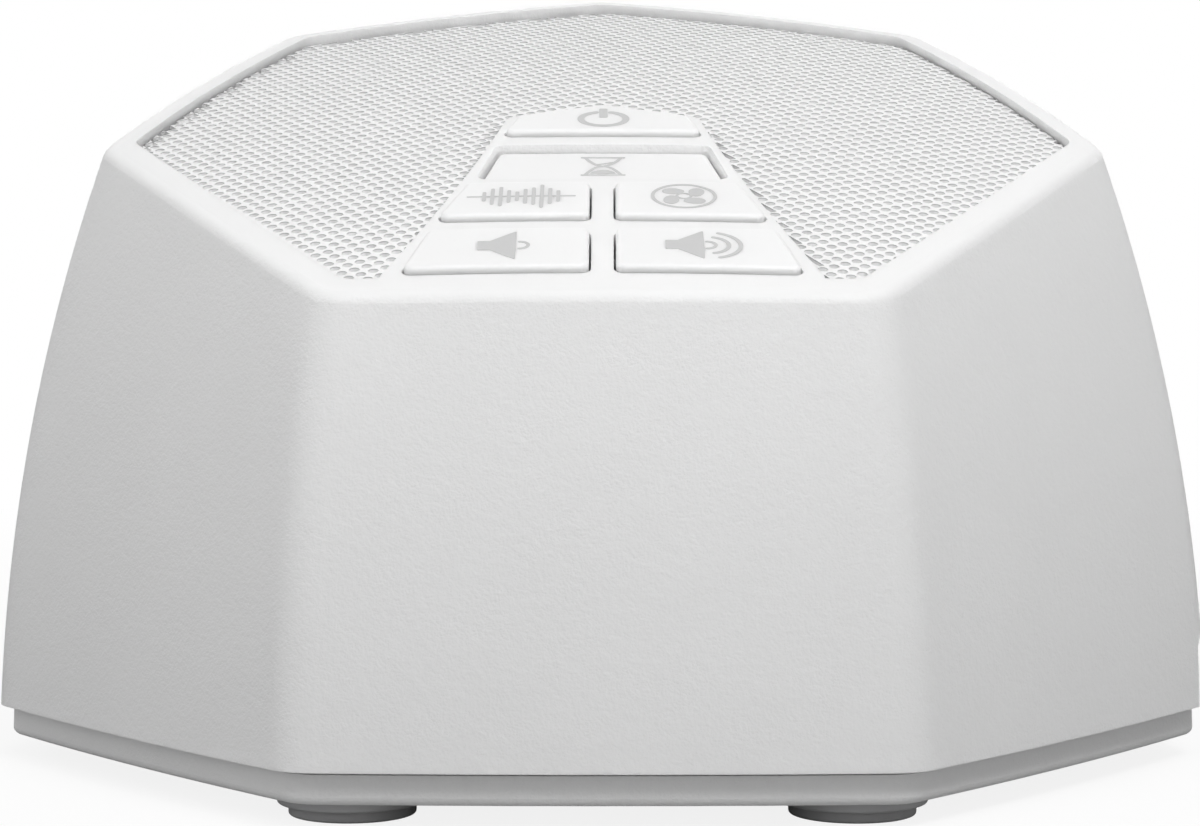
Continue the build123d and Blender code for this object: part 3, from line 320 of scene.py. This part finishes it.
FINISHES = {
    "housing_plastic": translucent(spark_textured("housing_plastic", 0.865, 0.50, 0.00009)),
    "key_plastic": translucent(moulded("key_plastic", *grey(0.875, 0.006), 0.42, 2600.0, 0.000006, 0.4)),
    # The grille's hole walls carry painted shade.
    "grille_metal": painted_hole_shade(moulded("grille_metal", *grey(0.89, 0.008), 0.45, 5200.0, 0.00001)),
    "cloth": woven("cloth", (0.88,) * 3, (0.97,) * 3, 0.00022, 0.00004),
    "base_plastic": spark_textured("base_plastic", 0.82, 0.50, 0.00008),
    "foot_rubber": moulded("foot_rubber", (0.50, 0.50, 0.505), (0.57, 0.57, 0.575), 0.72, 1700.0, 0.00004,
                           0.6, specular=0.3),
    "screw_steel": brushed("screw_steel", (0.62, 0.62, 0.64), 0.30, 5000.0, 2),
    "switch_plastic": moulded("switch_plastic", (0.028,) * 3, (0.05,) * 3, 0.45, 3000.0, 0.00002),
    "board": moulded("board", (0.014, 0.10, 0.045), (0.02, 0.145, 0.06), 0.32, 2500.0, 0.00002,
                     specular=0.6),
    "foam": moulded("foam", (0.03,) * 3, (0.07,) * 3, 0.95, 3500.0, 0.0001, 0.8, specular=0.2),
    "basket_steel": moulded("basket_steel", (0.035,) * 3, (0.055,) * 3, 0.38, 2200.0, 0.00002),
    "plate_steel": brushed("plate_steel", (0.56, 0.55, 0.52), 0.34, 3600.0, 2),
    "ferrite": moulded("ferrite", (0.045, 0.045, 0.05), (0.075, 0.075, 0.08), 0.62, 1900.0, 0.00005, 0.7),
    "copper": brushed("copper", (0.80, 0.42, 0.22), 0.28, 6000.0, 2),
    "spider_cloth": woven("spider_cloth", (0.40, 0.26, 0.09), (0.62, 0.44, 0.18), 0.0004, 0.0001),
    "cone_paper": moulded("cone_paper", (0.030,) * 3, (0.055,) * 3, 0.7, 1500.0, 0.0001, 0.7),
    "surround_rubber": moulded("surround_rubber", (0.02,) * 3, (0.032,) * 3, 0.55, 2500.0, 0.00002),
    "socket_steel": brushed("socket_steel", (0.66, 0.66, 0.68), 0.26, 4200.0, 0),
    "jack_plastic": moulded("jack_plastic", (0.022,) * 3, (0.034,) * 3, 0.30, 2000.0, 0.00001,
                            specular=0.6),
    "chip_plastic": moulded("chip_plastic", (0.018,) * 3, (0.03,) * 3, 0.5, 3500.0, 0.00003),
    "capacitor_can": brushed("capacitor_can", (0.60, 0.61, 0.64), 0.25, 3000.0, 2),
    "ribbon": moulded("ribbon", (0.70, 0.70, 0.67), (0.80, 0.80, 0.78), 0.25, 1200.0, 0.00001,
                      specular=0.6),
    "connector_plastic": moulded("connector_plastic", (0.72, 0.68, 0.56), (0.80, 0.77, 0.66), 0.4, 2400.0,
                                 0.00002),
    "lead_red": moulded("lead_red", (0.36, 0.012, 0.012), (0.46, 0.02, 0.02), 0.38, 1800.0, 0.00002),
    "lead_black": moulded("lead_black", (0.014,) * 3, (0.026,) * 3, 0.38, 1800.0, 0.00002),
}
INK = moulded("key_ink", *grey(0.56, 0.01), 0.5, 3200.0, 0.000005, 0.4)

for part in frame["record"]["subparts"]:
    node = NODES[part["node"]]
    node.data.materials.clear()
    node.data.materials.append(FINISHES[part["material_slot"]])


# ---------------------------------------------------------------- perforated grille
def outline_of(node, drop):
    """The closed edge of a node's upper face in the top's plane, in order."""
    mesh = NODES[node].data
    flat = plane_of([v.co for v in mesh.vertices])
    on_top = np.abs(flat[:, 2] - dome_level(flat, drop)) < CLOSE
    keys = [tuple(row) for row in np.round(flat[:, :2], 3)]
    free = {}
    for face in mesh.polygons:
        corners = list(face.vertices)
        if all(on_top[i] for i in corners) and abs(face.normal.z) > 0.5:
            for i, j in zip(corners, corners[1:] + corners[:1]):
                a, b = keys[i], keys[j]
                if (b, a) in free:
                    del free[(b, a)]
                else:
                    free[(a, b)] = True
    after = dict(free.keys())
    loops = []
    while after:
        start = next(iter(after))
        loop = [start]
        step = after.pop(start)
        while step != start and step in after:
            loop.append(step)
            step = after.pop(step)
        loops.append(loop)
    return np.array(max(loops, key=len))


def inside(points, loop):
    """Which points lie inside a closed outline."""
    px, py = points[:, 0][:, None], points[:, 1][:, None]
    ax, ay = loop[:, 0][None], loop[:, 1][None]
    bx, by = np.roll(loop[:, 0], -1)[None], np.roll(loop[:, 1], -1)[None]
    crosses = (ay > py) != (by > py)
    rise = np.where(by == ay, TINY, by - ay)
    return (np.sum(crosses & (px < (bx - ax) * (py - ay) / rise + ax), axis=1) % 2) == 1


def distance_to(points, loop):
    """How far each point lies from a closed outline."""
    best = np.full(len(points), np.inf)
    for a, ab in zip(loop, np.roll(loop, -1, axis=0) - loop):
        t = np.clip(((points - a) @ ab) / max(ab @ ab, TINY), 0, 1)
        best = np.minimum(best, np.hypot(*(points - a - t[:, None] * ab).T))
    return best


def whole_cells(centres, ring, square):
    """A square around a round hole at each centre, with faces between the two."""
    points, faces = [], []
    count = len(ring)
    for centre in centres:
        start = len(points)
        points.extend(centre + ring)
        points.extend(centre + square)
        for k in range(count):
            n = (k + 1) % count
            faces.append((start + k, start + count + k, start + count + n, start + n))
    return points, faces


def cut_cells(loop, centres, ring, square, taken):
    """The rest of the sheet, triangulated around the holes at its edge. Cells in taken are left out."""
    corners, edges, outlines = list(loop), [], [list(range(len(loop)))]
    count = len(ring)
    for centre in centres:
        start = len(corners)
        corners.extend(centre + ring)
        outlines.append(list(range(start, start + count)))
        start = len(corners)
        corners.extend(centre + square)
        edges.extend((start + k, start + (k + 1) % count) for k in range(count))
    out = delaunay_2d_cdt([Vector(corner) for corner in corners], edges, outlines, 2, MERGE)
    points = np.array([tuple(v) for v in out[0]])
    faces = []
    for face, origins in zip(out[2], out[5]):
        middle = points[list(face)].mean(0)
        cell = (round(float(middle @ ALONG) / PITCH), round(float(middle @ ACROSS) / PITCH))
        if list(origins) == [0] and cell not in taken:
            faces.append(face)
    return points, faces


def merged(points, faces):
    """The same faces, all turned up, on corners of which no two are at one place."""
    points, index = np.unique(np.round(points, 4), axis=0, return_inverse=True)
    index = index.ravel()
    kept = []
    for face in faces:
        new = [int(index[i]) for i in face]
        new = [a for a, b in zip(new, new[1:] + new[:1]) if a != b]
        if len(set(new)) > 2:
            kept.append(turned_up(tuple(new), points))
    return points, kept


def perforated_sheet():
    """Flat corners and faces of the sheet."""
    loop = outline_of("speaker_grille", GRILLE_DROP)
    span = int(GRILLE_REACH / PITCH)
    steps = np.array([(i, j) for i in range(-span, span + 1) for j in range(-span, span + 1)], float)
    centres = (steps[:, :1] * ALONG + steps[:, 1:] * ACROSS) * PITCH
    turns = np.stack([np.cos(HOLE_TURNS), np.sin(HOLE_TURNS)], 1)
    axes = np.stack([ALONG, ACROSS])
    ring = (turns @ axes) * HOLE_RADIUS
    square = (turns * (PITCH / 2 / np.abs(turns).max(1))[:, None]) @ axes
    reach = PITCH * math.sqrt(0.5) + CLOSE
    away = distance_to(centres, loop)
    whole = inside(centres, loop) & (away > reach)
    taken = {tuple(step) for step in steps[whole].astype(int)}
    points, faces = whole_cells(centres[whole], ring, square)
    more, cut = cut_cells(loop, centres[away <= reach], ring, square, taken)
    start = len(points)
    points.extend(more)
    faces.extend(tuple(start + i for i in face) for face in cut)
    return merged(np.array(points), faces)


def make_grille():
    flat, faces = perforated_sheet()
    points = np.concatenate([dome_points(flat, GRILLE_DROP), dome_points(flat, GRILLE_DROP + SHEET)])
    piece = make_object("grille_perforated", points, faces + skirt(faces, len(flat)),
                        FINISHES["grille_metal"], "housing", GRILLE_SHARP)
    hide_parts("speaker_grille")


def make_shade_strip():
    """Painted shade: a thin dark strip under the sheet's edge, standing in for the shade in the gap there,
    which shows through the outermost holes.
    """
    rough = outline_of("speaker_grille", GRILLE_DROP)
    rough = rough[np.hypot(*(rough - np.roll(rough, 1, axis=0)).T) > CLOSE]
    loop = []
    for a, b in zip(rough, np.roll(rough, -1, axis=0)):
        parts = max(1, int(math.hypot(*(b - a)) / SHADE_STRIP_STEP))
        loop.extend(a + (b - a) * k / parts for k in range(parts))
    loop = np.array(loop)
    way = np.roll(loop, -1, axis=0) - loop
    way /= np.hypot(*way.T)[:, None]
    normal = np.stack([-way[:, 1], way[:, 0]], 1)
    if not inside(loop[:1] + way[:1] * 0.1 + normal[:1] * 0.1, loop)[0]:
        normal = -normal
    before = np.roll(normal, 1, axis=0)
    lean = (normal + before) / (1 + np.sum(normal * before, axis=1))[:, None]
    steep = np.abs(way[:, 1]) > np.abs(way[:, 0])
    by_panel = steep & (np.abs(loop[:, 0]) < PANEL_HALF_WIDTH) & (loop[:, 1] < PANEL_REAR)
    width = np.where(by_panel, PANEL_SHADE_STRIP_WIDTH, SHADE_STRIP_WIDTH)
    width = np.maximum(width, np.roll(width, 1))
    flat = np.concatenate([loop, loop + lean * width[:, None]])
    count = len(loop)
    faces = [(i, (i + 1) % count, count + (i + 1) % count, count + i) for i in range(count)]
    # The strip takes the dark foam finish as painted shade.
    make_object("grille_shade_strip", dome_points(flat, GRILLE_DROP + SHEET - SHADE_STRIP_LIFT), faces,
                FINISHES["foam"], "housing")


make_grille()
make_shade_strip()


# ---------------------------------------------------------------- printed key symbols
def circle(x, v, radius, count=40, start=0.0, end=360.0):
    turns = np.radians(np.linspace(start, end, count, endpoint=(end - start) < 360))
    return np.stack([x + radius * np.cos(turns), v + radius * np.sin(turns)], 1)


def band(x, v, radius, stroke, start, end, count=30, round_ends=True):
    """Part of a ring, from one angle to another, with round ends."""
    outer = circle(x, v, radius + stroke / 2, count, start, end)
    inner = circle(x, v, radius - stroke / 2, count, start, end)[::-1]
    shapes = [np.concatenate([outer, inner])]
    if round_ends:
        for turn in (start, end):
            shapes.append(circle(x + radius * math.cos(math.radians(turn)),
                                 v + radius * math.sin(math.radians(turn)), stroke / 2, 16))
    return shapes


def bar(x, v, half_x, half_v, corner):
    """A rectangle with round corners."""
    reach_x, reach_v = half_x - corner, half_v - corner
    loop = []
    for sx, sv, turn in ((1, 1, 0), (-1, 1, 90), (-1, -1, 180), (1, -1, 270)):
        loop.append(circle(x + sx * reach_x, v + sv * reach_v, corner, 7, turn, turn + 90))
    return [np.concatenate(loop)]


def stroke_along(points, stroke):
    """A line of even width through points, with round joints."""
    shapes = []
    points = np.asarray(points, float)
    for a, b in zip(points[:-1], points[1:]):
        way = (b - a) / np.hypot(*(b - a))
        side = np.array([-way[1], way[0]]) * stroke / 2
        shapes.append(np.array([a - side, b - side, b + side, a + side]))
    for p in points:
        shapes.append(circle(p[0], p[1], stroke / 2, 16))
    return shapes


def rounded(points, radius, steps=5):
    """A polygon with its corners cut round."""
    points = [np.array(p, float) for p in points]
    loop = []
    for before, at, after in zip(points[-1:] + points[:-1], points, points[1:] + points[:1]):
        start = at + (before - at) / np.hypot(*(before - at)) * radius
        end = at + (after - at) / np.hypot(*(after - at)) * radius
        for t in np.linspace(0, 1, steps):
            loop.append((1 - t) ** 2 * start + 2 * t * (1 - t) * at + t**2 * end)
    return np.array(loop)


def symbol(name, key, shapes):
    """Ink on a key's face: the union of some outlines, laid on the face as a thin layer."""
    corners, outlines = [], []
    for shape in shapes:
        outlines.append(list(range(len(corners), len(corners) + len(shape))))
        corners.extend(Vector(p) for p in shape)
    out = delaunay_2d_cdt(corners, [], outlines, 0, MERGE)
    flat = np.array([tuple(v) for v in out[0]])
    triangles = np.array(out[2])
    middles = flat[triangles].mean(1)
    inked = np.any([inside(middles, shape) for shape in shapes], axis=0)
    faces = [turned_up(tuple(int(i) for i in t), flat) for t in triangles[inked]]
    mesh = NODES[key].data
    tree = BVHTree.FromPolygons([v.co for v in mesh.vertices], [p.vertices for p in mesh.polygons])
    down = Vector((0, math.sin(TOP_TILT), -math.cos(TOP_TILT)))
    tops, lows = [], []
    for p in top_points(flat[:, 0], flat[:, 1], CAST_FROM):
        hit = tree.ray_cast(Vector(p), down)[0]
        if hit is None:
            raise RuntimeError(f"{name} reaches past its key")
        tops.append(hit - down * INK_RISE * MM)
        lows.append(hit + down * INK_SINK * MM)
    make_object(name, tops + lows, faces + skirt(faces, len(flat)), INK, key)


def speaker_shapes(x, v):
    """A loudspeaker: a small body and a flared horn, x at its left end."""
    body = rounded([(x, v - 0.92), (x + 1.7, v - 0.92), (x + 1.7, v + 0.92), (x, v + 0.92)], 0.1)
    horn = rounded([(x + 0.9, v - 0.8), (x + 3.2, v - 2.95), (x + 3.2, v + 2.95), (x + 0.9, v + 0.8)], 0.3)
    return [body, horn]


def power_shapes(x, v):
    """A ring, open at the top, and a bar in its gap."""
    return band(x, v, 2.1, 0.64, 110, 430, 60) + bar(x, v + 1.75, 0.38, 1.4, 0.16)


def hourglass_shapes(x, v):
    """Two caps, two curved sides that meet in a neck, a heap of sand and a line of it above."""
    cap_level, cap_half, cap_corner = 2.33, 2.02, 0.1
    neck, swell, flare, glass_half = 0.06, 1.54, 0.55, 2.25
    shapes = bar(x, v + cap_level, cap_half, 0.15, cap_corner)
    shapes += bar(x, v - cap_level, cap_half, 0.13, cap_corner)
    for side in (-1, 1):
        curve = [(x + side * (neck + swell * abs(t) ** flare), v + glass_half * t)
                 for t in np.linspace(-1, 1, 31)]
        shapes += stroke_along(curve, 0.32)
    heap = ((-1.16, -1.95), (1.16, -1.95), (0.95, -1.5), (0.5, -1.15), (0.0, -1.05), (-0.5, -1.15),
            (-0.95, -1.5))
    level = ((-0.72, 0.42), (0.1, 0.66), (0.84, 1.02))
    shapes.append(np.array(heap) + (x, v))
    return shapes + stroke_along(np.array(level) + (x, v), 0.2)


def wave_shapes(x, v):
    """A sound wave: ten round-ended bars on a line."""
    pitch, half_wide = 0.713, 0.17
    halves = (1.08, 1.9, 2.27, 1.47, 1.11, 1.73, 2.05, 2.73, 1.88, 1.32)
    shapes = bar(x, v, 4.73, 0.12, 0.11)
    for i, half in enumerate(halves):
        shapes += bar(x + (i - (len(halves) - 1) / 2) * pitch, v, half_wide, half, 0.165)
    return shapes


def blob(x, v, half_long, half_wide, turn, tail):
    """An oval turned by an angle, with one end drawn in."""
    c, s = math.cos(turn), math.sin(turn)
    loop = []
    for step in np.linspace(0, 2 * math.pi, 32, endpoint=False):
        a = half_long * math.cos(step)
        b = half_wide * math.sin(step) * (1 - tail * (1 - math.cos(step)) / 2)
        loop.append((x + a * c - b * s, v + a * s + b * c))
    return np.array(loop)


def fan_shapes(x, v):
    """Four round-ended blades that trail from a hub, in a ring."""
    blade_out, first_turn, trail = 1.43, math.radians(39), math.radians(48)
    shapes = band(x, v, 2.71, 0.32, 0, 359.9, 72, False) + band(x, v, 0.62, 0.24, 0, 359.9, 30, False)
    for i in range(4):
        turn = first_turn + i * math.pi / 2
        shapes.append(blob(x + blade_out * math.cos(turn), v + blade_out * math.sin(turn), 0.96, 0.76,
                           turn + trail, 0.2))
    return shapes


symbol("symbol_power", "key_power", power_shapes(0.05, -11.5))
symbol("symbol_timer", "key_timer", hourglass_shapes(0.03, -21.42))
symbol("symbol_white_noise", "key_white_noise", wave_shapes(-7.05, -32.33))
symbol("symbol_fan", "key_fan", fan_shapes(7.04, -32.27))
symbol("symbol_volume_down", "key_volume_down",
       speaker_shapes(-10.42, -43.28) + band(-6.9, -43.28, 0.72, 0.32, -90, 90))
symbol("symbol_volume_up", "key_volume_up",
       speaker_shapes(5.25, -43.15) + band(8.72, -43.2, 0.72, 0.32, -90, 90)
       + band(8.86, -43.2, 1.68, 0.36, -76, 76) + band(8.86, -43.2, 2.66, 0.38, -71, 71))


# ---------------------------------------------------------------- stage, light and camera
def stage_floor():
    """A floor, white to the camera but for a faint shadow, that throws back light as a grey one."""
    mesh = bpy.data.meshes.new("floor")
    radius, count = 3.0, 96
    turns = [2 * math.pi * i / count for i in range(count)]
    ring = [(radius * math.cos(turn), radius * math.sin(turn), 0.0) for turn in turns]
    mesh.from_pydata(ring, [], [tuple(range(count))])
    floor = bpy.data.objects.new("floor", mesh)
    bpy.context.scene.collection.objects.link(floor)
    material, tree, shader, place = new_material("floor_paper")
    shader.inputs["Roughness"].default_value = 0.9
    shader.inputs["Specular IOR Level"].default_value = 0.1
    to_camera = tree.nodes.new("ShaderNodeLightPath").outputs["Is Camera Ray"]
    fleck = ranged(tree, noise(tree, place, 40.0), 0, 1)
    dull = mixed(tree, fleck, (0.39,) * 3, (0.41,) * 3)
    tree.links.new(mixed(tree, to_camera, dull, (0.95,) * 3), shader.inputs["Base Color"])
    glow = tree.nodes.new("ShaderNodeEmission")
    glow.inputs["Strength"].default_value = 1.0
    whiter_away = ranged(tree, measured(tree, "LENGTH", place), 0.86, 1.0, 0.07, 0.32)
    share = combined(tree, "MULTIPLY", to_camera, whiter_away)
    surface = shader_mix(tree, share, shader.outputs["BSDF"], glow.outputs[0])
    tree.links.new(surface, node_of(tree, "OUTPUT_MATERIAL").inputs["Surface"])
    mesh.materials.append(material)


def background(tree, strength):
    node = tree.nodes.new("ShaderNodeBackground")
    node.inputs["Color"].default_value = (1, 1, 1, 1)
    node.inputs["Strength"].default_value = strength
    return node.outputs[0]


def world_light(level):
    """An even light, seen as plain white by the camera, in gloss and through glass."""
    world = bpy.data.worlds.new("studio")
    bpy.context.scene.world = world
    world.use_nodes = True
    tree = world.node_tree
    tree.nodes.clear()
    out = tree.nodes.new("ShaderNodeOutputWorld")
    path = tree.nodes.new("ShaderNodeLightPath")
    seen = combined(tree, "MAXIMUM", path.outputs["Is Camera Ray"], path.outputs["Is Glossy Ray"])
    seen = combined(tree, "MAXIMUM", seen, path.outputs["Is Transmission Ray"])
    tree.links.new(shader_mix(tree, seen, background(tree, level), background(tree, 1.0)),
                   out.inputs["Surface"])


def soft_box(name, place, aim, size, power):
    light = bpy.data.lights.new(name, "AREA")
    light.shape = "RECTANGLE"
    light.size, light.size_y = size
    light.energy = power
    lamp = bpy.data.objects.new(name, light)
    bpy.context.scene.collection.objects.link(lamp)
    lamp.location = place
    way = Vector(aim) - Vector(place)
    lamp.rotation_mode = "QUATERNION"
    lamp.rotation_quaternion = way.to_track_quat("-Z", "Y")


stage_floor()
world_light(0.3)
# The lamps' places, aims, sizes and watts give the photo's tones on the walls and the top.
soft_box("rear_high_box", (0.0, 0.7, 0.8), (0, 0, 0.05), (0.8, 0.5), 0.14)
soft_box("rear_box", (0.0, 1.0, 0.25), (0, 0, 0.05), (0.9, 0.3), 2.6)
soft_box("left_box", (-0.9, -0.2, 0.5), (0, 0, 0.05), (0.5, 0.7), 1.2)
soft_box("front_box", (0.0, -1.0, 0.5), (0, 0, 0.05), (0.6, 0.5), 0.72)
soft_box("near_box", (0.0, -0.32, 0.45), (0, -0.03, 0.05), (0.3, 0.2), 0.79)
soft_box("near_right_box", (0.12, -0.22, 0.36), (0.02, -0.04, 0.06), (0.16, 0.1), 0.54)

# The camera is fitted to the photo's outlines.
IMAGE_WIDTH, FOCAL, CENTRE_X = 1200, 2872.09, 603.94     # pixels
YAW, PITCH_DOWN = -0.000913, 0.03918                     # radians
CAMERA_PLACE = (0.343, -279.55, 42.417)
data = bpy.data.cameras.new("camera")
camera = bpy.data.objects.new("camera", data)
bpy.context.scene.collection.objects.link(camera)
data.sensor_width = 36.0
data.lens = FOCAL / IMAGE_WIDTH * data.sensor_width
data.shift_x = (IMAGE_WIDTH / 2 - CENTRE_X) / IMAGE_WIDTH
data.clip_start, data.clip_end = 0.01, 20.0
forward = Vector((math.sin(YAW) * math.cos(PITCH_DOWN), math.cos(YAW) * math.cos(PITCH_DOWN),
                  -math.sin(PITCH_DOWN)))
right = Vector((math.cos(YAW), -math.sin(YAW), 0))
up = right.cross(forward)
turn = Matrix((right, up, -forward)).transposed().to_4x4()
camera.matrix_world = Matrix.Translation(Vector(CAMERA_PLACE) * MM) @ turn
bpy.context.scene.camera = camera
bpy.context.scene.view_settings.view_transform = "Standard"
